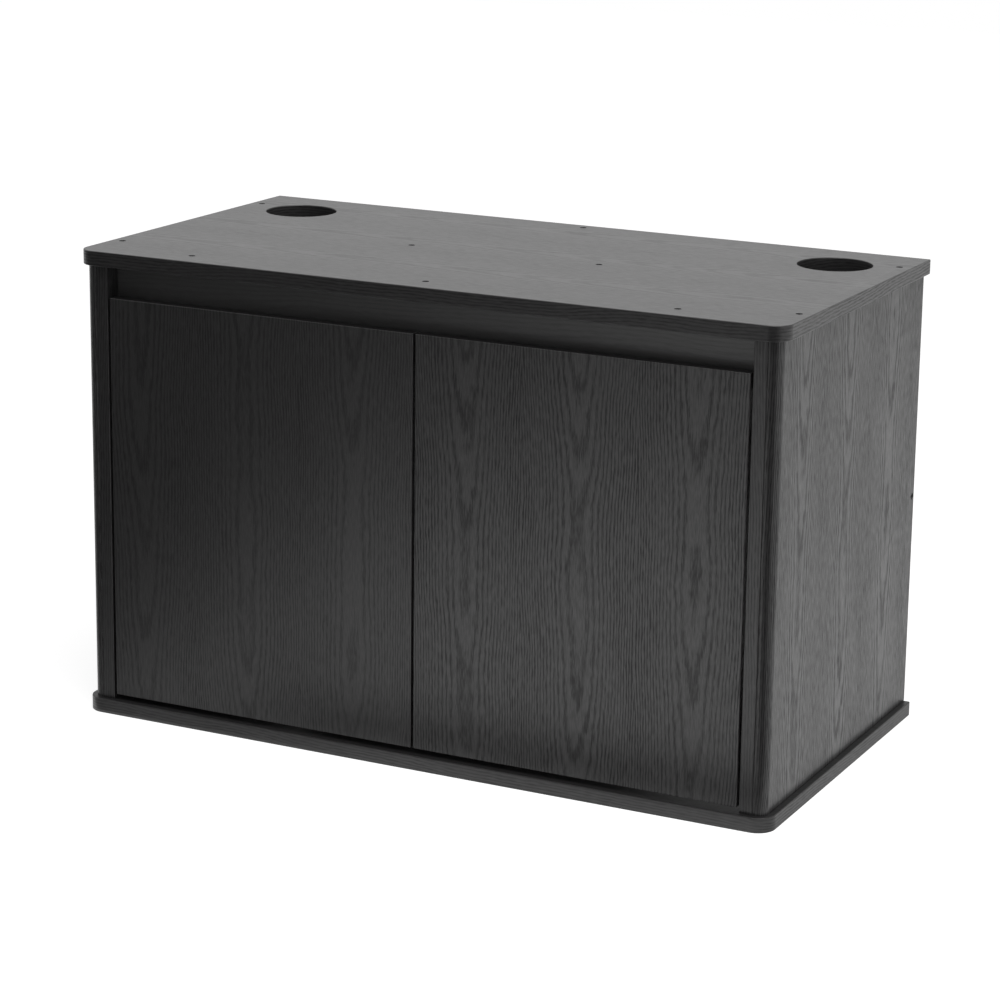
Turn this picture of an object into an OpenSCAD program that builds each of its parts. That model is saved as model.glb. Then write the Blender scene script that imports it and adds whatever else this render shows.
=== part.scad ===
// Aquarium cabinet with two inset doors, built from flat boards.
// +X is the cabinet's right, +Y its back, +Z up. The origin is the middle of the footprint,
// on the floor. Lengths are millimetres.

/* [Cabinet] */
// Width over the top and base boards
cabinet_w = 905; // [760:5:1100]
// Depth over the top and base boards
cabinet_d = 470; // [400:5:560]
// Height from the floor to the top face
cabinet_h = 575; // [480:5:760]
// Thickness of the top and base boards
board_t = 18; // [16:1:25]
// Radius of the boards' front corners
corner_r = 23; // [16:1:40]
// How far the boards stand out past the sides and the front
overhang = 7.5; // [6:0.5:14]

/* [Sides] */
// Thickness of a side panel
panel_t = 15; // [15:1:18]
// Radius down the side panel's front outer edge
post_r = 13; // [8:1:14]
// Thickness of the batten that widens the side panel's front into a post
batten_t = 16; // [14:1:22]
// Depth of the batten, front to back
batten_d = 76; // [76:1:110]

/* [Rails] */
// Thickness of every rail
rail_t = 15; // [14:1:18]
// Height of every rail
rail_h = 60; // [52:1:80]
// Distance from the cabinet's middle forward to the centre rail
centre_rail_forward = 3; // [0:1:20]
// Bare strip of the top behind the top back rail
back_rail_inset = 9.5; // [4:0.5:14]
// Height of the middle of the mid back rail above the floor
mid_rail_z = 282; // [200:1:320]

/* [Hose holes] */
// Diameter of the hose holes in the top
hose_d = 90; // [40:1:100]
// From the top board's side edge to the middle of a hose hole
hose_from_side = 87.5; // [80:0.5:140]
// From the top board's back edge to the middle of a hose hole
hose_from_back = 92; // [80:1:130]

/* [Doors] */
// Thickness of a door
door_t = 15; // [15:1:18]
// Gap beside and between the doors
door_gap = 3; // [3:0.5:5]
// Gap under the doors
foot_gap = 6; // [3:1:12]
// Finger gap from the doors' top edge to the underside of the top
finger_gap = 38; // [34:1:48]
// Space between the header rail's face and the sweep of an opening door's hinged edge
header_clear = 0.6; // [0.5:0.1:4]
// Height of the middle of the lower hinge above the door's bottom edge, and as far down for the upper one
hinge_from_end = 80; // [60:1:120]

/* [Hinges] */
// Diameter of the hinge cup's bore in the door
cup_d = 35; // [34:0.5:36]
// Wood between the door's edge and the cup's bore
cup_from_edge = 5; // [4.5:0.5:5.5]
// Wood left in front of the cup's bore
cup_skin = 3; // [2.5:0.1:3.1]
// Diameter of the hinge pin
pin_d = 3; // [2.5:0.1:3]
// From the door's edge to the pin's axis
pin_from_edge = 11.5; // [11:0.5:13]
// From the door's front face to the pin's axis
pin_from_face = 6.8; // [6.6:0.1:7.2]
// Width of the hinge arm, along the pin
arm_w = 12; // [10:1:13]
// Thickness of the hinge arm's strip
arm_t = 2.4; // [2:0.1:2.6]

/* [Screws and dowels] */
// Diameter of the board screws' heads
head_d = 8; // [7:0.5:9]
// Diameter of the board screws' shanks
shank_d = 4; // [3:0.5:4.5]
// Length of the board screws
board_screw_l = 45; // [35:1:60]
// Depth of the screw heads below the board's face
head_sink = 0.8; // [0:0.1:1.5]
// Distance between the two screws in a side panel's end
side_screw_pitch = 324; // [200:1:340]
// From the middle to the outer screws of the header rail
header_screw_x = 312; // [200:1:360]
// From the middle to the screws of the centre rail
centre_screw_x = 125; // [60:1:200]
// Diameter of the wooden dowels
dowel_d = 8; // [6:1:8]
// Length of the wooden dowels
dowel_l = 30; // [25:1:35]

/* [Magnetic catch] */
// Width of the catch's housing
catch_w = 52; // [46:1:60]
// Diameter of the strike plates on the doors
strike_d = 14; // [12:1:16]

/* [Hidden] */
$fn = 64;

// Colours
black_ash = "#3b393a";
black_zinc = "#2a2a2c";
nickel = "#b9b8b4";
beech = "#c9a878";
black_plastic = "#222224";

// Clearances
fit = 0.1;           // between a fixed pin, screw or cup and its hole
running = 0.05;      // radial, between a hinge pin and the arm's eye
side_play = 0.3;     // beside the arm's eye
cut = 1;             // how far a cutting tool runs past a face

// Planes of the carcass
front_y = -cabinet_d / 2;
back_y = cabinet_d / 2;
face_y = front_y + overhang;
side_x = cabinet_w / 2 - overhang;
panel_in_x = side_x - panel_t;
opening_x = panel_in_x - batten_t;
base_top_z = board_t;
top_under_z = cabinet_h - board_t;
inner_h = top_under_z - base_top_z;

// Doors, seen as the left one
door_w = opening_x - 1.5 * door_gap;
door_z = base_top_z + foot_gap;
door_top_z = top_under_z - finger_gap;
door_h = door_top_z - door_z;
door_back_y = face_y + door_t;
door_edge_x = -opening_x + door_gap;
hinge_z = [door_z + hinge_from_end, door_top_z - hinge_from_end];

// Rails
door_edge_sweep = norm([pin_from_edge, door_t - pin_from_face]);
header_y = face_y + pin_from_face + door_edge_sweep + header_clear;
centre_rail_y = -centre_rail_forward - rail_t / 2;
top_rail_y = back_y - back_rail_inset - rail_t;
mid_rail_y = back_y - rail_t;
rail_z = top_under_z - rail_h;

// Screw rows
header_screw_in = 5.5;
panel_mid_x = side_x - panel_t / 2;
panel_mid_y = (face_y + back_y) / 2;
side_screws_y = [panel_mid_y - side_screw_pitch / 2, panel_mid_y + side_screw_pitch / 2];
batten_mid_x = opening_x + batten_t / 2;
batten_mid_y = face_y + batten_d / 2;
top_screw_at = concat(
    [for (s = [-1, 1], y = side_screws_y) [s * panel_mid_x, y]],
    [for (k = [-1, 0, 1]) [k * header_screw_x, header_y + header_screw_in]],
    [for (s = [-1, 1]) [s * centre_screw_x, centre_rail_y + rail_t / 2]],
    [[0, top_rail_y + rail_t / 2]]
);
base_screw_at = concat(
    [for (s = [-1, 1], y = side_screws_y) [s * panel_mid_x, y]],
    [for (s = [-1, 1]) [s * batten_mid_x, batten_mid_y]]
);
batten_screw_from_end = 40;
batten_screws_z = [
    base_top_z + batten_screw_from_end,
    (base_top_z + top_under_z) / 2,
    top_under_z - batten_screw_from_end
];
batten_screw_skin = 5;
batten_screw_l = batten_t + panel_t - batten_screw_skin;

// Dowels, two in each end of a rail
dowel_in_panel = 10;
dowel_from_edge = 12;
dowel_spread = rail_h / 2 - dowel_from_edge;

// Hinge, measured from the opening's edge inward and from the front face of the door back
cup_r = cup_d / 2 - fit;
cup_wall = 1;
cup_floor = 0.8;
cup_mid = cup_from_edge + cup_d / 2;
cup_depth = door_t - cup_skin - fit;
flange_t = 1.2;
flange_r = cup_d / 2 + 2;
wing_w = 15;
cup_screw_pitch = 48;
cup_screw_off = 6;
pin_r = pin_d / 2;
eye_r = pin_r + 1.2;
lug_t = 2.4;
lug_r = 3;
lug_at = arm_w / 2 + side_play;
pin_l = 2 * (lug_at + lug_t);
neck_clear = 1.4;
neck_r = 3.5;
neck_reach = door_t - pin_from_face + flange_t + neck_clear + arm_t / 2;
neck_back_clear = 2.5;
neck_back = door_t + neck_back_clear - pin_from_face;
neck_turn = 60;
neck_steps = 8;
arm_u = 10;
pin_u = door_gap + pin_from_edge;
pin_v = pin_from_face;
plate_t = 2;
plate_behind = 22;
plate_v = door_t + plate_behind;
plate_l = 34;
spine_w = arm_w - 2.4;

// Outline of the arm's strip seen along the pin: from the eye along the door's back, round the
// first bend, up, back towards the batten and along the plate's spine
neck_in_r = neck_r - arm_t / 2;
neck_out_r = neck_r + arm_t / 2;
neck_slope_l = (pin_u + neck_reach - arm_u - 2 * neck_r * (1 - cos(neck_turn))) / sin(neck_turn);
bend_1 = [pin_u + neck_reach - neck_r, pin_v + neck_r];
bend_2 = bend_1 + [0, neck_back - neck_r];
bend_3 = bend_2 + 2 * neck_r * [cos(neck_turn), sin(neck_turn)]
    + neck_slope_l * [-sin(neck_turn), cos(neck_turn)];
arm_end_v = plate_v + plate_l;
function arc(mid, r, from, to) = [
    for (i = [0:neck_steps])
        let (a = from + (to - from) * i / neck_steps) mid + r * [cos(a), sin(a)]
];
arm_outline = concat(
    [[pin_u, pin_v + arm_t / 2]],
    arc(bend_1, neck_in_r, -90, 0),
    arc(bend_2, neck_in_r, 0, neck_turn),
    arc(bend_3, neck_out_r, 180 + neck_turn, 180),
    [[arm_u - arm_t / 2, arm_end_v], [arm_u + arm_t / 2, arm_end_v]],
    arc(bend_3, neck_in_r, 180, 180 + neck_turn),
    arc(bend_2, neck_out_r, neck_turn, 0),
    arc(bend_1, neck_out_r, 0, -90),
    [[pin_u, pin_v - arm_t / 2]]
);
plate_screw_pitch = 32;
small_head_d = 6.5;
small_shank_d = 3.5;
plate_screw_l = 13;
cup_screw_l = 11;
arm_screw_d = 4;
arm_head_d = 7;
arm_head_h = 2.2;
arm_slot_l = 3;
arm_screw_in = 5;
arm_screw_from_end = [9, 8];

// Magnetic catch under the middle of the header rail
strike_t = 1.2;
strike_from_edge = 6;
strike_drop = 4;
strike_gap = 0.5;
strike_x = door_gap / 2 + strike_d / 2 + strike_from_edge;
strike_z = rail_z - strike_d / 2 - strike_drop;
catch_y = door_back_y + strike_t + strike_gap;
catch_d = header_y + rail_t - catch_y;
catch_skin = 1.5;
catch_z = strike_z - strike_d / 2 - catch_skin;
catch_flange_t = 3;
catch_ear_d = 12;
catch_ear_out = 5;
catch_screw_x = catch_w / 2 + catch_ear_out;
catch_screw_y = header_y + rail_t / 2;
magnet_d = strike_d - 2;
magnet_t = 5;

// Flat board lying on z = 0, its two front corners rounded
module rounded_board(w, d, t, r) {
    linear_extrude(t) {
        translate([-w / 2, -d / 2 + r])
            square([w, d - r]);
        translate([-w / 2 + r, -d / 2])
            square([w - 2 * r, r + cut]);
        for (s = [-1, 1])
            translate([s * (w / 2 - r), -d / 2 + r])
                circle(r);
    }
}

// Cylinder along +X, +Y or +Z, starting at the origin
module rod_x(r, l) {
    rotate([0, 90, 0]) cylinder(r = r, h = l);
}

module rod_y(r, l) {
    rotate([-90, 0, 0]) cylinder(r = r, h = l);
}

// Countersunk screw pointing down -Z, its head's face at z = 0
module countersunk_screw(head, shank, length) {
    head_h = (head - shank) / 2;
    slot = head / 7;
    difference() {
        union() {
            translate([0, 0, -head_h])
                cylinder(d1 = shank, d2 = head, h = head_h);
            translate([0, 0, -length + shank])
                cylinder(d = shank, h = length - shank - head_h);
            translate([0, 0, -length])
                cylinder(d1 = shank / 4, d2 = shank, h = shank);
        }
        for (a = [0, 90])
            rotate([0, 0, a])
                translate([-head / 4, -slot / 2, -head_h / 2])
                    cube([head / 2, slot, head_h]);
    }
}

// Hole for that screw: countersink, and a bore a little wider than the shank
module screw_hole(head, shank, length, sink = 0) {
    head_h = (head - shank) / 2;
    translate([0, 0, -head_h])
        cylinder(d1 = shank + 2 * fit, d2 = head + 2 * fit, h = head_h);
    cylinder(d = head + 2 * fit, h = sink + cut);
    translate([0, 0, -length - fit])
        cylinder(d = shank + 2 * fit, h = length + fit);
}

// Puts its children at each place of the ten top screws, heads up
module at_top_screws() {
    for (p = top_screw_at)
        translate([p.x, p.y, cabinet_h - head_sink]) children();
}

// The same for the screws up through the base, heads down
module at_base_screws() {
    for (p = base_screw_at)
        translate([p.x, p.y, head_sink]) rotate([180, 0, 0]) children();
}

// And for the two screws through the side panels into the mid back rail
module at_back_rail_screws() {
    for (s = [-1, 1])
        translate([s * (side_x - head_sink), mid_rail_y + rail_t / 2, mid_rail_z])
            rotate([0, s * 90, 0]) children();
}

// And for the screws that hold the battens to the side panels
module at_batten_screws() {
    for (s = [-1, 1], z = batten_screws_z)
        translate([s * (opening_x + head_sink), batten_mid_y, z])
            rotate([0, -s * 90, 0]) children();
}

module board_screw() {
    countersunk_screw(head_d, shank_d, board_screw_l);
}

module board_screw_hole() {
    screw_hole(head_d, shank_d, board_screw_l, head_sink);
}

module batten_screw() {
    countersunk_screw(head_d, shank_d, batten_screw_l);
}

module batten_screw_hole() {
    screw_hole(head_d, shank_d, batten_screw_l, head_sink);
}

// Dowels of every rail, larger and longer by the given play to cut their holes
module dowels(play = 0) {
    r = dowel_d / 2 + play;
    l = dowel_l + 2 * play;
    for (s = [-1, 1]) {
        dx = s * (panel_in_x + dowel_in_panel - dowel_l / 2) - l / 2;
        hx = s * (opening_x + dowel_in_panel - dowel_l / 2) - l / 2;
        for (k = [-1, 1]) {
            for (y = [centre_rail_y, top_rail_y])
                translate([dx, y + rail_t / 2, rail_z + rail_h / 2 + k * dowel_spread]) rod_x(r, l);
            translate([dx, mid_rail_y + rail_t / 2, mid_rail_z + k * dowel_spread]) rod_x(r, l);
            translate([hx, header_y + rail_t / 2, rail_z + rail_h / 2 + k * dowel_spread]) rod_x(r, l);
        }
    }
}

module base_board() {
    color(black_ash) difference() {
        rounded_board(cabinet_w, cabinet_d, board_t, corner_r);
        at_base_screws() board_screw_hole();
    }
}

module top_board() {
    color(black_ash) difference() {
        translate([0, 0, top_under_z])
            rounded_board(cabinet_w, cabinet_d, board_t, corner_r);
        for (s = [-1, 1])
            translate([s * (cabinet_w / 2 - hose_from_side), back_y - hose_from_back, top_under_z - cut])
                cylinder(d = hose_d, h = board_t + 2 * cut, $fn = 128);
        at_top_screws() board_screw_hole();
    }
}

// Side panel at +X: plain board with a rounded front outer edge
module side_panel() {
    difference() {
        translate([panel_in_x, face_y, base_top_z])
            cube([panel_t, back_y - face_y, inner_h]);
        difference() {
            translate([side_x - post_r, face_y - cut, base_top_z - cut])
                cube([post_r + cut, post_r + cut, inner_h + 2 * cut]);
            translate([side_x - post_r, face_y + post_r, base_top_z - 2 * cut])
                cylinder(r = post_r, h = inner_h + 4 * cut);
        }
        at_top_screws() board_screw_hole();
        at_base_screws() board_screw_hole();
        at_back_rail_screws() board_screw_hole();
        at_batten_screws() batten_screw_hole();
        dowels(fit);
    }
}

module left_side_panel() {
    color(black_ash) mirror([1, 0, 0]) side_panel();
}

module right_side_panel() {
    color(black_ash) side_panel();
}

// Hinge batten at +X, glued and screwed inside the panel, its front flush with it
module hinge_batten() {
    difference() {
        translate([opening_x, face_y, base_top_z])
            cube([batten_t, batten_d, inner_h]);
        at_base_screws() board_screw_hole();
        at_batten_screws() batten_screw_hole();
        mirror([1, 0, 0]) at_hinges() plate_screws(fit);
        dowels(fit);
    }
}

module left_hinge_batten() {
    color(black_ash) mirror([1, 0, 0]) hinge_batten();
}

module right_hinge_batten() {
    color(black_ash) hinge_batten();
}

// Header rail between the battens. It runs down behind the doors' top edges and stops them.
module header_rail() {
    color(black_ash) difference() {
        translate([-opening_x, header_y, rail_z])
            cube([2 * opening_x, rail_t, rail_h]);
        at_top_screws() board_screw_hole();
        at_catch_screws() screw_hole(small_head_d, small_shank_d, plate_screw_l);
        dowels(fit);
    }
}

// Rail on edge between the side panels, its front face at y and its underside at z
module rail_on_edge(y, z) {
    difference() {
        translate([-panel_in_x, y, z])
            cube([2 * panel_in_x, rail_t, rail_h]);
        at_top_screws() board_screw_hole();
        at_back_rail_screws() board_screw_hole();
        dowels(fit);
    }
}

module centre_rail() {
    color(black_ash) rail_on_edge(centre_rail_y, rail_z);
}

module top_back_rail() {
    color(black_ash) rail_on_edge(top_rail_y, rail_z);
}

module mid_back_rail() {
    color(black_ash) rail_on_edge(mid_rail_y, mid_rail_z - rail_h / 2);
}

// Puts its children at the left door's hinges. There x runs from the opening's edge into the
// opening, y from the door's front face back, and z = 0 is the middle of the hinge.
module at_hinges() {
    for (z = hinge_z)
        translate([-opening_x, face_y, z]) children();
}

// The left door, with a bore for each cup and holes for the screws of cups and strike plate
module door() {
    difference() {
        translate([door_edge_x, face_y, door_z])
            cube([door_w, door_t, door_h]);
        at_hinges()
            translate([door_gap + cup_mid, cup_skin, 0])
                rod_y(cup_d / 2, door_t);
        at_hinges() cup_screws(fit);
        strike_screw(fit);
    }
}

module left_door() {
    color(black_ash) door();
}

module right_door() {
    color(black_ash) mirror([1, 0, 0]) door();
}

module top_screws() {
    color(black_zinc) at_top_screws() board_screw();
}

module base_screws() {
    color(black_zinc) at_base_screws() board_screw();
}

module back_rail_screws() {
    color(black_zinc) at_back_rail_screws() board_screw();
}

module batten_screws() {
    color(black_zinc) at_batten_screws() batten_screw();
}

module rail_dowels() {
    color(beech) dowels();
}

// Two small screws of one hinge cup, or their holes when some play is given
module cup_screws(play = 0) {
    for (k = [-1, 1])
        translate([door_gap + cup_mid + cup_screw_off, door_t + flange_t, k * cup_screw_pitch / 2])
            rotate([-90, 0, 0])
                if (play > 0)
                    screw_hole(small_head_d, small_shank_d, cup_screw_l);
                else
                    countersunk_screw(small_head_d, small_shank_d, cup_screw_l);
}

// Hinge cup: a drawn bowl in the door's back, its flange with two wings for the screws,
// and two lugs inside that hold the pin
module hinge_cup() {
    difference() {
        union() {
            translate([door_gap + cup_mid, door_t - cup_depth, 0])
                rod_y(cup_r, cup_depth + flange_t);
            translate([door_gap + cup_mid, door_t, 0])
                rod_y(flange_r, flange_t);
            translate([door_gap + cup_mid + cup_screw_off - wing_w / 2, door_t, -cup_screw_pitch / 2])
                cube([wing_w, flange_t, cup_screw_pitch]);
            for (k = [-1, 1])
                translate([door_gap + cup_mid + cup_screw_off, door_t, k * cup_screw_pitch / 2])
                    rod_y(wing_w / 2, flange_t);
        }
        difference() {
            translate([door_gap + cup_mid, door_t - cup_depth + cup_floor, 0])
                rod_y(cup_r - cup_wall, door_t);
            for (k = [-1, 1])
                translate([pin_u, pin_v, k * (lug_at + lug_t / 2)]) {
                    cylinder(r = lug_r, h = lug_t, center = true);
                    translate([-lug_r, -pin_v, -lug_t / 2])
                        cube([2 * lug_r, pin_v, lug_t]);
                }
        }
        translate([pin_u, pin_v, 0])
            cylinder(r = pin_r + fit / 2, h = pin_l + 2 * fit, center = true);
        cup_screws(fit);
    }
}

// Hinge pin between the lugs
module hinge_pin() {
    translate([pin_u, pin_v, 0])
        cylinder(r = pin_r, h = pin_l, center = true);
}

// Hinge arm: an eye round the pin, a swan neck that clears the open door, and a flat tail
// that lies on the plate's spine between two cheeks
module hinge_arm() {
    difference() {
        union() {
            translate([pin_u, pin_v, 0])
                cylinder(r = eye_r, h = arm_w, center = true);
            linear_extrude(arm_w, center = true)
                polygon(arm_outline);
            for (k = [-1, 1])
                translate([plate_t + fit, plate_v, k > 0 ? spine_w / 2 + fit : -arm_w / 2])
                    cube([arm_u - plate_t - fit, plate_l, (arm_w - spine_w) / 2 - fit]);
        }
        translate([pin_u, pin_v, 0])
            cylinder(r = pin_r + running, h = arm_w + cut, center = true);
        at_arm_screws() {
            translate([-arm_slot_l / 2, -arm_screw_d / 2 - fit, 0])
                cube([arm_slot_l, arm_screw_d + 2 * fit, arm_u]);
            for (k = [-1, 1])
                translate([k * arm_slot_l / 2, 0, 0])
                    cylinder(d = arm_screw_d + 2 * fit, h = arm_u);
        }
    }
}

// Puts its children at the two screws of one arm. There z runs out of the plate's spine.
module at_arm_screws() {
    for (v = [plate_v + arm_screw_from_end[0], plate_v + plate_l - arm_screw_from_end[1]])
        translate([arm_u - arm_t / 2 - fit, v, 0])
            rotate([0, 90, 0]) rotate([0, 0, 90]) children();
}

// Pan-head screws that clamp and adjust the arm on the plate
module arm_screws() {
    at_arm_screws() {
        difference() {
            translate([0, 0, arm_t + 2 * fit])
                cylinder(d = arm_head_d, h = arm_head_h);
            for (a = [0, 90])
                rotate([0, 0, a])
                    translate([-arm_head_d / 4, -0.5, arm_t + arm_head_h / 2])
                        cube([arm_head_d / 2, 1, arm_head_h]);
        }
        translate([0, 0, -arm_screw_in])
            cylinder(d = arm_screw_d, h = arm_screw_in + arm_t + 2 * fit);
    }
}

// Mounting plate on the batten: a cross with two screw wings and a raised spine
module hinge_plate() {
    mid_v = plate_v + plate_l / 2;
    difference() {
        union() {
            translate([0, plate_v, -arm_w / 2])
                cube([plate_t, plate_l, arm_w]);
            translate([0, plate_v, -spine_w / 2])
                cube([arm_u - arm_t / 2 - fit, plate_l, spine_w]);
            translate([0, mid_v - wing_w / 2, -plate_screw_pitch / 2])
                cube([plate_t, wing_w, plate_screw_pitch]);
            for (k = [-1, 1])
                translate([0, mid_v, k * plate_screw_pitch / 2])
                    rod_x(wing_w / 2, plate_t);
        }
        plate_screws(fit);
        at_arm_screws()
            translate([0, 0, -arm_screw_in - fit])
                cylinder(d = arm_screw_d + 2 * fit, h = arm_screw_in + 2 * fit);
    }
}

// Two screws of one plate, or their holes when some play is given
module plate_screws(play = 0) {
    for (k = [-1, 1])
        translate([plate_t, plate_v + plate_l / 2, k * plate_screw_pitch / 2])
            rotate([0, 90, 0])
                if (play > 0)
                    screw_hole(small_head_d, small_shank_d, plate_screw_l);
                else
                    countersunk_screw(small_head_d, small_shank_d, plate_screw_l);
}

module left_hinge_cups() {
    color(nickel) at_hinges() hinge_cup();
}

module right_hinge_cups() {
    color(nickel) mirror([1, 0, 0]) at_hinges() hinge_cup();
}

module left_hinge_pins() {
    color(nickel) at_hinges() hinge_pin();
}

module right_hinge_pins() {
    color(nickel) mirror([1, 0, 0]) at_hinges() hinge_pin();
}

module left_hinge_arms() {
    color(nickel) at_hinges() hinge_arm();
}

module right_hinge_arms() {
    color(nickel) mirror([1, 0, 0]) at_hinges() hinge_arm();
}

module left_hinge_plates() {
    color(nickel) at_hinges() hinge_plate();
}

module right_hinge_plates() {
    color(nickel) mirror([1, 0, 0]) at_hinges() hinge_plate();
}

module left_plate_screws() {
    color(nickel) at_hinges() plate_screws();
}

module right_plate_screws() {
    color(nickel) mirror([1, 0, 0]) at_hinges() plate_screws();
}

module left_arm_screws() {
    color(nickel) at_hinges() arm_screws();
}

module right_arm_screws() {
    color(nickel) mirror([1, 0, 0]) at_hinges() arm_screws();
}

module left_cup_screws() {
    color(nickel) at_hinges() cup_screws();
}

module right_cup_screws() {
    color(nickel) mirror([1, 0, 0]) at_hinges() cup_screws();
}

// Puts its children at the two screws up into the header rail
module at_catch_screws() {
    for (s = [-1, 1])
        translate([s * catch_screw_x, catch_screw_y, rail_z - catch_flange_t])
            rotate([180, 0, 0]) children();
}

// Double catch: a moulded housing hung under the header rail by its two ears
module catch_housing() {
    color(black_plastic) difference() {
        union() {
            translate([-catch_w / 2, catch_y, catch_z])
                cube([catch_w, catch_d, rail_z - catch_z]);
            translate([-catch_screw_x, catch_screw_y - catch_ear_d / 2, rail_z - catch_flange_t])
                cube([2 * catch_screw_x, catch_ear_d, catch_flange_t]);
            for (s = [-1, 1])
                translate([s * catch_screw_x, catch_screw_y, rail_z - catch_flange_t])
                    cylinder(d = catch_ear_d, h = catch_flange_t);
        }
        at_catch_screws() screw_hole(small_head_d, small_shank_d, plate_screw_l);
        for (s = [-1, 1])
            translate([s * strike_x, catch_y - cut, strike_z])
                rod_y(magnet_d / 2 + fit, magnet_t + cut + fit);
    }
}

module catch_magnets() {
    color(nickel)
        for (s = [-1, 1])
            translate([s * strike_x, catch_y - 2 * fit, strike_z])
                rod_y(magnet_d / 2, magnet_t);
}

module catch_screws() {
    color(black_zinc) at_catch_screws() countersunk_screw(small_head_d, small_shank_d, plate_screw_l);
}

// Screw in the middle of the left strike plate, or its hole when some play is given
module strike_screw(play = 0) {
    translate([-strike_x, door_back_y + strike_t, strike_z])
        rotate([-90, 0, 0])
            if (play > 0)
                screw_hole(small_head_d, small_shank_d, cup_screw_l);
            else
                countersunk_screw(small_head_d, small_shank_d, cup_screw_l);
}

// Steel disc on the left door's back that the magnet holds
module strike_plate() {
    difference() {
        translate([-strike_x, door_back_y, strike_z])
            rod_y(strike_d / 2, strike_t);
        strike_screw(fit);
    }
}

module left_strike_plate() {
    color(nickel) strike_plate();
}

module right_strike_plate() {
    color(nickel) mirror([1, 0, 0]) strike_plate();
}

module left_strike_screw() {
    color(nickel) strike_screw();
}

module right_strike_screw() {
    color(nickel) mirror([1, 0, 0]) strike_screw();
}

base_board();
top_board();
left_side_panel();
right_side_panel();
left_hinge_batten();
right_hinge_batten();
header_rail();
centre_rail();
top_back_rail();
mid_back_rail();
left_door();
right_door();
top_screws();
base_screws();
back_rail_screws();
batten_screws();
rail_dowels();
left_hinge_cups();
right_hinge_cups();
left_hinge_pins();
right_hinge_pins();
left_hinge_arms();
right_hinge_arms();
left_hinge_plates();
right_hinge_plates();
left_plate_screws();
right_plate_screws();
left_arm_screws();
right_arm_screws();
left_cup_screws();
right_cup_screws();
catch_housing();
catch_magnets();
catch_screws();
left_strike_plate();
right_strike_plate();
left_strike_screw();
right_strike_screw();
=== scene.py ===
"""Looks of a low black aquarium cabinet with two inset doors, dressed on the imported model."""
import math

import bmesh
import bpy
from mathutils import Matrix, Vector


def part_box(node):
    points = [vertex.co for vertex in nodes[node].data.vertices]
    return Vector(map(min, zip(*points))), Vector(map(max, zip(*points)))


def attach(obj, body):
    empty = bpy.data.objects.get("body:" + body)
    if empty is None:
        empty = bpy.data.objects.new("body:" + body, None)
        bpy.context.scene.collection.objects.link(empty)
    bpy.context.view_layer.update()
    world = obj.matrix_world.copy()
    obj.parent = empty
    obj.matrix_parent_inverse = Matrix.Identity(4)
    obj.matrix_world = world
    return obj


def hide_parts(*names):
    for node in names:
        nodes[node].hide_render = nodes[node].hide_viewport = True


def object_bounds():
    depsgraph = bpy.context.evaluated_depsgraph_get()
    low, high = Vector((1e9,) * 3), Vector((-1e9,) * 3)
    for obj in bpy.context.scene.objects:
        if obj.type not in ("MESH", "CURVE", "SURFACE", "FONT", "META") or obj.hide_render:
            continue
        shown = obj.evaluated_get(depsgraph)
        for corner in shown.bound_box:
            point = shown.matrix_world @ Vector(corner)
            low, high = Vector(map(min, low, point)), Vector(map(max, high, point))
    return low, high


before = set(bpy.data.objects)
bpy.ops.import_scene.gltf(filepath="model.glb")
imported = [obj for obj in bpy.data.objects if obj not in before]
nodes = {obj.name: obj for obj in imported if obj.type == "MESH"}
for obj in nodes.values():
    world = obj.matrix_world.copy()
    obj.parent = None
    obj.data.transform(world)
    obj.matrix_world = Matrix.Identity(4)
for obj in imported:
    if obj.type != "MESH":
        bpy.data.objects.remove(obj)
cad_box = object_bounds()


# Top board. Particle board in a satin black ash foil, with a matching edge band round its rim.
# It lies on the side panels and rails and is held by ten screws driven down through it.
class Wire:
    """One output of a shader node, so that the sums of a finish read as plain Python."""

    def __init__(self, finish, socket):
        self.finish = finish
        self.socket = socket

    def maths(self, operation, *values):
        return self.finish.add("ShaderNodeMath", {"operation": operation}, dict(enumerate(values)))

    def through(self, operation):
        """This value put through a function of one value, such as a sine."""
        return self.maths(operation, self)

    def __add__(self, other):
        return self.maths("ADD", self, other)

    def __sub__(self, other):
        return self.maths("SUBTRACT", self, other)

    def __rsub__(self, other):
        return self.maths("SUBTRACT", other, self)

    def __mul__(self, other):
        return self.maths("MULTIPLY", self, other)

    def __pow__(self, other):
        return self.maths("POWER", self, other)

    __radd__ = __add__
    __rmul__ = __mul__


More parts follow.
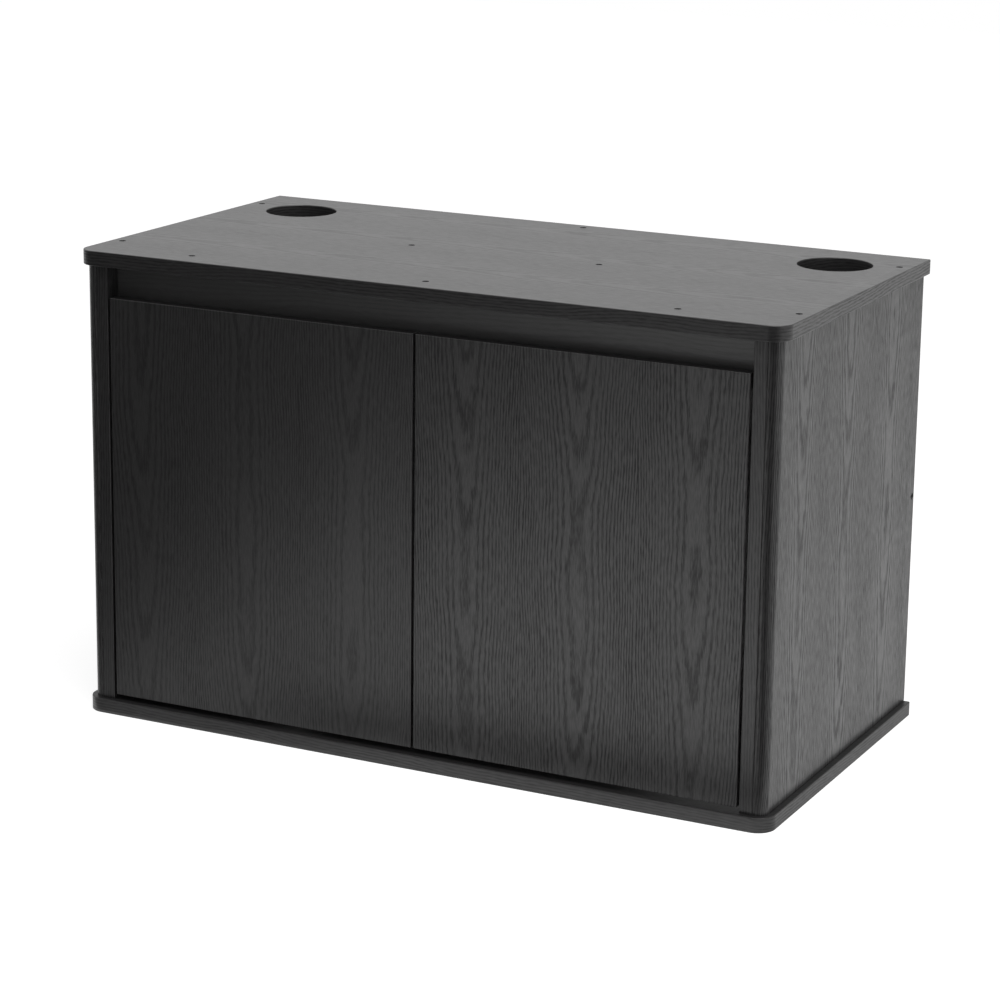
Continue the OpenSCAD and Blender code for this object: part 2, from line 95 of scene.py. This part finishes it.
class Finish:
    """The node tree of a material or of the world. add() puts in one node, its settings first,
    then its sockets' values or links, and gives back one of its outputs."""

    def __init__(self, owner):
        owner.use_nodes = True
        self.owner = owner
        self.tree = owner.node_tree
        self.tree.nodes.clear()

    def add(self, kind, settings=None, sockets=None, output=0):
        node = self.tree.nodes.new(kind)
        for name, value in (settings or {}).items():
            setattr(node, name, value)
        for key, value in (sockets or {}).items():
            if isinstance(value, Wire):
                self.tree.links.new(value.socket, node.inputs[key])
            else:
                node.inputs[key].default_value = value
        return Wire(self, node.outputs[output]) if node.outputs else None

    def place(self):
        """Place in the cabinet's frame, in metres."""
        return self.add("ShaderNodeTexCoord", output="Object")

    def reach(self, vector, direction):
        """How far a vector goes in a direction."""
        return self.add("ShaderNodeVectorMath", {"operation": "DOT_PRODUCT"},
                        {0: vector, 1: direction}, output="Value")

    def noise(self, place, scale=1.0, detail=2.0):
        return self.add("ShaderNodeTexNoise", {"noise_dimensions": "3D"},
                        {"Vector": place, "Scale": scale, "Detail": detail})

    def ramp(self, value, start, end, low, high, way="SMOOTHSTEP"):
        """Goes from low to high as value goes from start to end."""
        return self.add("ShaderNodeMapRange", {"interpolation_type": way}, {
            "Value": value, "From Min": start, "From Max": end, "To Min": low, "To Max": high})

    def blend(self, amount, low, high):
        """Colour between low and high."""
        return self.add("ShaderNodeMix", {"data_type": "RGBA"},
                        {0: amount, 6: (*low, 1.0), 7: (*high, 1.0)}, output=2)

    def close(self, surface, end="ShaderNodeOutputMaterial"):
        """Ends the tree with its surface and gives back what it belongs to."""
        self.add(end, {}, {"Surface": surface})
        return self.owner


def ash_foil(name, along, across, figure_at, figure, coat, side_painted_gloss=None, sheen=0.1):
    """Black ash foil. along and across are the directions of the grain and over it, in the
    cabinet's frame. figure_at is where the middle of one cathedral of the print lies, and figure
    is how strongly the grain shows. coat is the strength of its gloss, and faces that look to the
    cabinet's sides may be given a gloss of their own; sheen is that of the print under the gloss.
    Coat and sheen are set board by board, and the sides apart from the front, to the tone that the
    light gave each: painted sheen and painted shade on copies of one foil."""
    column = 0.143           # one cathedral to the next
    rings = 14.0             # grain lines from a cathedral's middle to its side
    nesting = 7.0            # cathedral tips to a metre of board
    lean = 0.5               # how far a column bends, as a turn in radians
    wander = 8.0             # grain lines by which the whole figure drifts
    ragged = 0.9             # grain lines by which an edge is combed
    sway = 0.8               # grain lines by which a line wavers
    thin = 2.2               # higher makes the dark lines thinner
    faint = 0.62             # strength of the print in its faintest patches
    pores = 0.30             # share of a line's strength that comes from its pores
    quiet = 0.4              # share that is lost in a cathedral's middle
    strength = 0.88          # of the lines
    loose = 0.2              # strength of the pores between the lines
    finish = Finish(bpy.data.materials.new(name))
    place = finish.place()
    w = finish.reach(place, along)
    u = finish.reach(place, across) - figure_at

    def cloud(over, lengthways, layer):
        """Noise with so many grains to a metre over and along the board."""
        return finish.noise(
            finish.add("ShaderNodeCombineXYZ", {}, {0: u * over, 1: w * lengthways, 2: layer}))

    turn = u * (math.pi / column) + (cloud(1.2, 3.0, 0.0) - 0.5) * lean
    swell = 1.0 - turn.through("COSINE").through("ABSOLUTE")
    ring = (swell * rings - w * nesting + (cloud(2.6, 2.2, 4.0) - 0.5) * wander
            + (cloud(420.0, 50.0, 8.0) - 0.5) * ragged + (cloud(60.0, 8.0, 6.0) - 0.5) * sway)
    line = ((ring * (2.0 * math.pi)).through("SINE") * 0.5 + 0.5) ** thin
    dash = finish.ramp(cloud(700.0, 75.0, 3.0), 0.38, 0.60, 0.0, 1.0, way="LINEAR")
    patch = finish.ramp(cloud(30.0, 7.0, 2.0), 0.34, 0.62, faint, 1.0, way="LINEAR")
    dark = (line * patch * (dash * pores + (1.0 - pores)) * (swell * quiet + (1.0 - quiet)) * strength
            + dash * loose)
    dark = dark * (1.25 - dark * 0.45)        # keeps the deepest streaks from going dead black
    relief = finish.add("ShaderNodeBump", {"invert": True}, {
        "Strength": min(1.0, 0.6 * figure), "Distance": 0.0004, "Height": dark})
    # Faces that look sideways take a gloss of their own, a painted tone that lightens or darkens the
    # sides as the light fell.
    if side_painted_gloss is not None:
        aside = finish.reach(finish.add("ShaderNodeTexCoord", output="Normal"), (1.0, 0.0, 0.0))
        coat = aside * aside * (side_painted_gloss - coat) + coat
    pale = [ink + 0.010 * figure for ink in (0.014, 0.0135, 0.0138)]
    deep = [ink - 0.007 * figure for ink in (0.013, 0.0125, 0.013)]
    return finish.close(finish.add("ShaderNodeBsdfPrincipled", {}, {
        "Base Color": finish.blend(dark, pale, deep),
        "Roughness": 0.55 + dark * 0.2, "Specular IOR Level": sheen, "Normal": relief,
        "Coat Weight": coat * (1.0 - dark * (0.7 * figure)),
        "Coat Roughness": 0.30, "Coat IOR": 1.63}))


def eased_board(name, body, foil, ease=0.0009, band=None, upright=False):
    """Copy of a CAD board whose long edges are rounded over as an edge band leaves them. A lying
    board may have a band of its own foil round its rim, and an upright one on its flat top and
    bottom edges."""
    weld = 0.00001
    flat = math.radians(1.0)
    sharp = math.radians(40.0)
    shortest = 0.003         # shorter edges belong to screw and dowel holes
    shape = bmesh.new()
    shape.from_mesh(nodes[name].data)
    bmesh.ops.remove_doubles(shape, verts=shape.verts, dist=weld)
    bmesh.ops.dissolve_limit(shape, angle_limit=flat, verts=shape.verts, edges=shape.edges)
    rim = [e for e in shape.edges if len(e.link_faces) == 2
           and e.calc_face_angle() > sharp and e.calc_length() > shortest]
    bmesh.ops.bevel(shape, geom=rim, offset=ease, segments=3, profile=0.5, affect="EDGES",
                    clamp_overlap=True)
    mesh = bpy.data.meshes.new(name + "_eased")
    shape.to_mesh(mesh)
    shape.free()
    for face in mesh.polygons:
        face.use_smooth = True
    mesh.set_sharp_from_angle(angle=sharp)
    mesh.materials.append(foil)
    if band:
        mesh.materials.append(band)
        for face in mesh.polygons:
            rise = abs(face.normal.z)
            face.material_index = int(rise > 0.98 if upright else rise < 0.5)
    board = bpy.data.objects.new(name + "_board", mesh)
    bpy.context.scene.collection.objects.link(board)
    level = board.modifiers.new("flat faces stay flat", "WEIGHTED_NORMAL")
    level.weight = 100
    level.keep_sharp = True
    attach(board, body)
    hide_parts(name)
    return board


# The band's sides get a little more gloss than its front: painted sheen on the sides.
eased_board("top_board", "cabinet",
            ash_foil("ash_top", (1, 0, 0), (0, 1, -1), 0.03, figure=0.5, coat=0.65),
            ease=0.0011,
            band=ash_foil("ash_top_band", (1, 1, 0), (0, 0, 1), 0.52,
                          figure=0.95, coat=0.60, side_painted_gloss=0.66))


# Base board. The same board as the top, without hose holes. It stands flat on the floor and is
# screwed up into the side panels and battens.
# The band's sides get far less gloss than its front: painted shade on the sides.
eased_board("base_board", "cabinet",
            ash_foil("ash_base", (1, 0, 0), (0, 1, -1), -0.05, figure=0.4, coat=0.35),
            ease=0.0011,
            band=ash_foil("ash_base_band", (1, 1, 0), (0, 0, 1), 0.06,
                          figure=0.7, coat=0.86, side_painted_gloss=0.42))


# Side panels and their hinge battens. Foiled particle board, the front outer edge rounded over
# and the grain upright. Screws from inside join each batten to its panel.
for side, sign in (("left", -1), ("right", 1)):
    eased_board(side + "_side_panel", "cabinet",
                ash_foil("ash_panel_" + side, (0, 0, 1), (sign, 1, 0), 0.295, figure=1.45, coat=0.71))
    eased_board(side + "_hinge_batten", "cabinet",
                ash_foil("ash_batten_" + side, (0, 0, 1), (sign, 1, 0), 0.2465, figure=0.8, coat=0.9),
                ease=0.0006)


# Rails. Strips of the same board on edge, dowelled between the sides. The header closes the
# finger gap's back and stops the doors; the others brace the top and the open back.
# The print under the gloss gets a strong sheen here, a painted sheen that lightens the header's face.
rail_foil = ash_foil("ash_rails", (1, 0, 0), (0, 1, 1), 0.02, figure=0.35, coat=1.0, sheen=0.8)
for rail in ("header_rail", "centre_rail", "top_back_rail", "mid_back_rail"):
    eased_board(rail, "cabinet", rail_foil, ease=0.0007)


# Doors. Plain foiled boards with upright grain, set in flush with the posts, with a dull band on
# their top and bottom edges, in part a matt edge band and in part painted shade that darkens the
# line above the doors. Each is bored at the back for two hinge cups and hangs on its own side.
door_band = ash_foil("ash_door_band", (1, 0, 0), (0, 1, 0), 0.0, figure=0.2, coat=0.1)
eased_board("left_door", "left_door_leaf",
            ash_foil("ash_door_left", (0, 0, 1), (1, 1, 0), -0.165, figure=0.85, coat=0.97),
            band=door_band, upright=True)
eased_board("right_door", "right_door_leaf",
            ash_foil("ash_door_right", (0, 0, 1), (1, 1, 0), -0.160, figure=1.3, coat=1.0),
            band=door_band, upright=True)


# Screws of the carcass. Countersunk cross-head steel screws, blackened so that they vanish in
# the black boards. Their heads sit just below the surface.
def metal(name, colour, roughness, wear):
    """Bare or plated metal with a faint unevenness in its gloss."""
    finish = Finish(bpy.data.materials.new(name))
    cloud = finish.noise(finish.place(), 900.0, 3.0)
    dull = [c * 0.8 for c in colour]
    return finish.close(finish.add("ShaderNodeBsdfPrincipled", {}, {
        "Base Color": finish.blend(cloud, dull, colour),
        "Metallic": 1.0, "Roughness": roughness + (cloud - 0.5) * wear}))


def refinish(name, material):
    """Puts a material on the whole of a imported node."""
    nodes[name].data.materials.clear()
    nodes[name].data.materials.append(material)


black_zinc = metal("black_zinc", (0.035, 0.035, 0.037), 0.42, 0.2)
for screws in ("top_screws", "base_screws", "back_rail_screws", "batten_screws", "catch_screws"):
    refinish(screws, black_zinc)


# Dowels. Turned beech pegs, glued into the rails' ends and the side panels. They are hidden
# once the cabinet stands.
beech = Finish(bpy.data.materials.new("beech"))
fleck = beech.noise(
    beech.add("ShaderNodeMapping", {}, {"Vector": beech.place(), "Scale": (60.0, 900.0, 900.0)}),
    detail=3.0)
refinish("rail_dowels", beech.close(beech.add("ShaderNodeBsdfPrincipled", {}, {
    "Base Color": beech.blend(fleck, (0.42, 0.27, 0.14), (0.62, 0.44, 0.26)), "Roughness": 0.62})))


# Hinges and strike plates. Nickel-plated pressed steel: a cup in the door, a pin, a swan-neck
# arm and a plate on the batten, with their screws, and a steel disc on each door for the catch.
nickel = metal("nickel", (0.66, 0.64, 0.60), 0.28, 0.16)
for side in ("left", "right"):
    for piece in ("hinge_cups", "hinge_pins", "hinge_arms", "hinge_plates", "plate_screws",
                  "arm_screws", "cup_screws", "strike_plate", "strike_screw"):
        refinish(side + "_" + piece, nickel)


# Magnetic catch. A moulded black housing screwed up under the header, with two plated magnets
# in it, one for each door.
plastic = Finish(bpy.data.materials.new("catch_plastic"))
spark = plastic.noise(plastic.place(), 1600.0)
refinish("catch_housing", plastic.close(plastic.add("ShaderNodeBsdfPrincipled", {}, {
    "Base Color": plastic.blend(spark, (0.012, 0.012, 0.013), (0.022, 0.022, 0.024)),
    "Roughness": 0.5 + spark * 0.1,
    "Normal": plastic.add("ShaderNodeBump", {}, {
        "Strength": 0.1, "Distance": 0.0002, "Height": spark})})))
refinish("catch_magnets", nickel)


# Floor. A plain white sweep under and behind the cabinet, which keeps the cabinet's shadow. To
# the eye, mirrors and glass it glows a little, so that it reads as white. For all other light
# it is plain white paper.
def straight_view(finish):
    """1 where the eye, a mirror or glass looks, 0 where light is only passed on."""
    return (finish.add("ShaderNodeLightPath", output="Is Camera Ray")
            + finish.add("ShaderNodeLightPath", output="Is Glossy Ray")
            + finish.add("ShaderNodeLightPath", output="Is Transmission Ray"))


floor_half = 8.0
floor_mesh = bpy.data.meshes.new("floor")
floor_mesh.from_pydata(
    [(-floor_half, -floor_half, 0), (floor_half, -floor_half, 0),
     (floor_half, floor_half, 0), (-floor_half, floor_half, 0)], [], [(0, 1, 2, 3)])
floor = bpy.data.objects.new("floor", floor_mesh)
bpy.context.scene.collection.objects.link(floor)
sweep = Finish(bpy.data.materials.new("floor_white"))
paper = sweep.add("ShaderNodeBsdfDiffuse", {}, {"Color": (0.45, 0.45, 0.45, 1.0)})
lift = sweep.add("ShaderNodeEmission", {}, {"Color": (1.0, 1.0, 1.0, 1.0), "Strength": 0.80})
lifted = sweep.add("ShaderNodeAddShader", {}, {0: paper, 1: lift})
plain = sweep.add("ShaderNodeBsdfDiffuse", {}, {"Color": (0.8, 0.8, 0.8, 1.0)})
floor_mesh.materials.append(sweep.close(
    sweep.add("ShaderNodeMixShader", {}, {0: straight_view(sweep), 1: plain, 2: lifted})))


# Dark cards: painted dark reflections. Black sheets that only gloss shows, unseen by the eye, by
# diffuse light and by shadow. One lies on the floor in front and rises far off: it paints the left
# door and the rounded corners dark. The other stands inside the carcass, in the mid back rail's
# thickness, and paints shade into the gap under the doors.
def painted_reflection_card(name, corners, faces, ink):
    """Sheet of clear film that only gloss shows, black where ink is 1: a painted dark reflection."""
    mesh = bpy.data.meshes.new(name)
    mesh.from_pydata(corners, [], faces)
    card = bpy.data.objects.new(name, mesh)
    bpy.context.scene.collection.objects.link(card)
    card.visible_camera = False
    card.visible_diffuse = False
    card.visible_shadow = False
    film = Finish(bpy.data.materials.new(name))
    clear = film.add("ShaderNodeBsdfTransparent")
    black = film.add("ShaderNodeBsdfDiffuse", {}, {"Color": (0.02, 0.02, 0.02, 1.0)})
    mesh.materials.append(film.close(
        film.add("ShaderNodeMixShader", {}, {0: ink(film), 1: clear, 2: black})))


def front_painted_reflection(film):
    """Painted dark reflection: black to the left and, away from the cabinet, to the right, and clear
    between, where the right door mirrors the room. A strip in front of the doors' foot is dark too,
    painted shade at the foot, and so, faintly, are the far end and the patch that the left door's
    lower half mirrors."""
    place = film.place()
    along = film.reach(place, (1.0, -0.2, 0.0))
    aside = film.reach(place, (-0.55, -1.0, 0.0))
    ahead = film.reach(place, (0.0, -1.0, 0.0))
    left = film.ramp(along, -0.75, 0.08, 1.0, 0.0)
    right = film.ramp(along, 0.45, 0.70, 0.0, 1.0) * film.ramp(aside, -0.1, 0.2, 0.0, 1.0)
    foot = (film.ramp(ahead, 0.33, 0.48, 0.85, 0.0) * film.ramp(ahead, 0.262, 0.302, 0.0, 1.0)
            * film.ramp(along, -0.30, 0.05, 0.0, 1.0))
    far = film.ramp(ahead, 1.2, 2.1, 0.0, 0.34)
    patch = film.ramp(ahead, 0.45, 0.95, 0.15, 0.0) * (
        film.ramp(along, -0.34, -0.20, 0.0, 1.0) - film.ramp(along, -0.09, 0.02, 0.0, 1.0))
    return left + right + foot + far + patch


def back_painted_shade(film):
    """Painted shade for the gap under the doors: black, thinner towards the right, where a little
    light gets under the right door.
    """
    return film.ramp(film.reach(film.place(), (1.0, 0.0, 0.0)), 0.05, 0.20, 1.0, 0.45)


near, distant = cad_box[0][1] - 0.003, -4.0
leftmost, rightmost = -6.0, 4.0
lying, risen = 0.002, 3.0
painted_reflection_card("front_painted_reflection_card",
           [(leftmost, near, lying), (rightmost, near, lying),
            (rightmost, distant, lying), (leftmost, distant, lying),
            (rightmost, distant, risen), (leftmost, distant, risen)],
           [(0, 1, 2, 3), (3, 2, 4, 5)], front_painted_reflection)

# The back card: painted shade in the gap under the doors, seen only in gloss.
rail_front, rail_back = (corner[1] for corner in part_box("mid_back_rail"))
upright = (rail_front + rail_back) / 2
half, foot, head = 0.42, 0.02, 0.48
painted_reflection_card("back_painted_shade_card",
           [(-half, upright, foot), (half, upright, foot), (half, upright, head), (-half, upright, head)],
           [(0, 1, 2, 3)], back_painted_shade)


# Light. A white room, dimmer towards the front left, and one large soft lamp overhead. The eye,
# mirrors and glass see plain white round the cabinet.
world = bpy.data.worlds.new("studio")
bpy.context.scene.world = world
room = Finish(world)
to_front_left = room.reach(room.add("ShaderNodeTexCoord", output="Generated"), (-0.55, -0.83, 0.0))
around = room.add("ShaderNodeBackground", {}, {
    "Color": (1.0, 1.0, 1.0, 1.0), "Strength": room.ramp(to_front_left, -0.1, 0.9, 0.55, 0.30)})
behind = room.add("ShaderNodeBackground", {}, {"Color": (1.0, 1.0, 1.0, 1.0), "Strength": 1.0})
room.close(room.add("ShaderNodeMixShader", {}, {0: straight_view(room), 1: around, 2: behind}),
           end="ShaderNodeOutputWorld")
lamp = bpy.data.lights.new("overhead_lamp", "AREA")
lamp.shape = "RECTANGLE"
lamp.size = 1.8
lamp.size_y = 1.4
lamp.energy = 36.0
hung = bpy.data.objects.new("overhead_lamp", lamp)
bpy.context.scene.collection.objects.link(hung)
hung.location = (0.7, -0.5, 2.4)
lit = Vector((0.0, 0.0, 0.3))
hung.rotation_euler = (lit - hung.location).to_track_quat("-Z", "Y").to_euler()


# Camera. Placed by fitting the board corners of the photograph. It looks at the cabinet from
# the front right and from a little above.
azimuth, elevation, roll = math.radians(25.675), math.radians(13.928), math.radians(0.983)
aim = Vector((0.0, 0.0, 0.28))
distance, slide_x, slide_y = 3.6964, 0.05847, 0.05291
focal = 3.0405               # focal length over the sensor's width
back = Vector((math.sin(azimuth) * math.cos(elevation), -math.cos(azimuth) * math.cos(elevation),
               math.sin(elevation)))
level_x = Vector((math.cos(azimuth), math.sin(azimuth), 0.0))
level_y = back.cross(level_x)
right = level_x * math.cos(roll) + level_y * math.sin(roll)
up = level_y * math.cos(roll) - level_x * math.sin(roll)
camera = bpy.data.cameras.new("camera")
camera.sensor_width = 36.0
camera.lens = focal * camera.sensor_width
camera.shift_x = -0.05
camera.shift_y = -0.05
viewer = bpy.data.objects.new("camera", camera)
bpy.context.scene.collection.objects.link(viewer)
stand = Matrix.Translation(aim + back * distance + right * slide_x + up * slide_y)
viewer.matrix_world = stand @ Matrix((right, up, back)).transposed().to_4x4()
bpy.context.scene.camera = viewer
bpy.context.scene.view_settings.view_transform = "Standard"
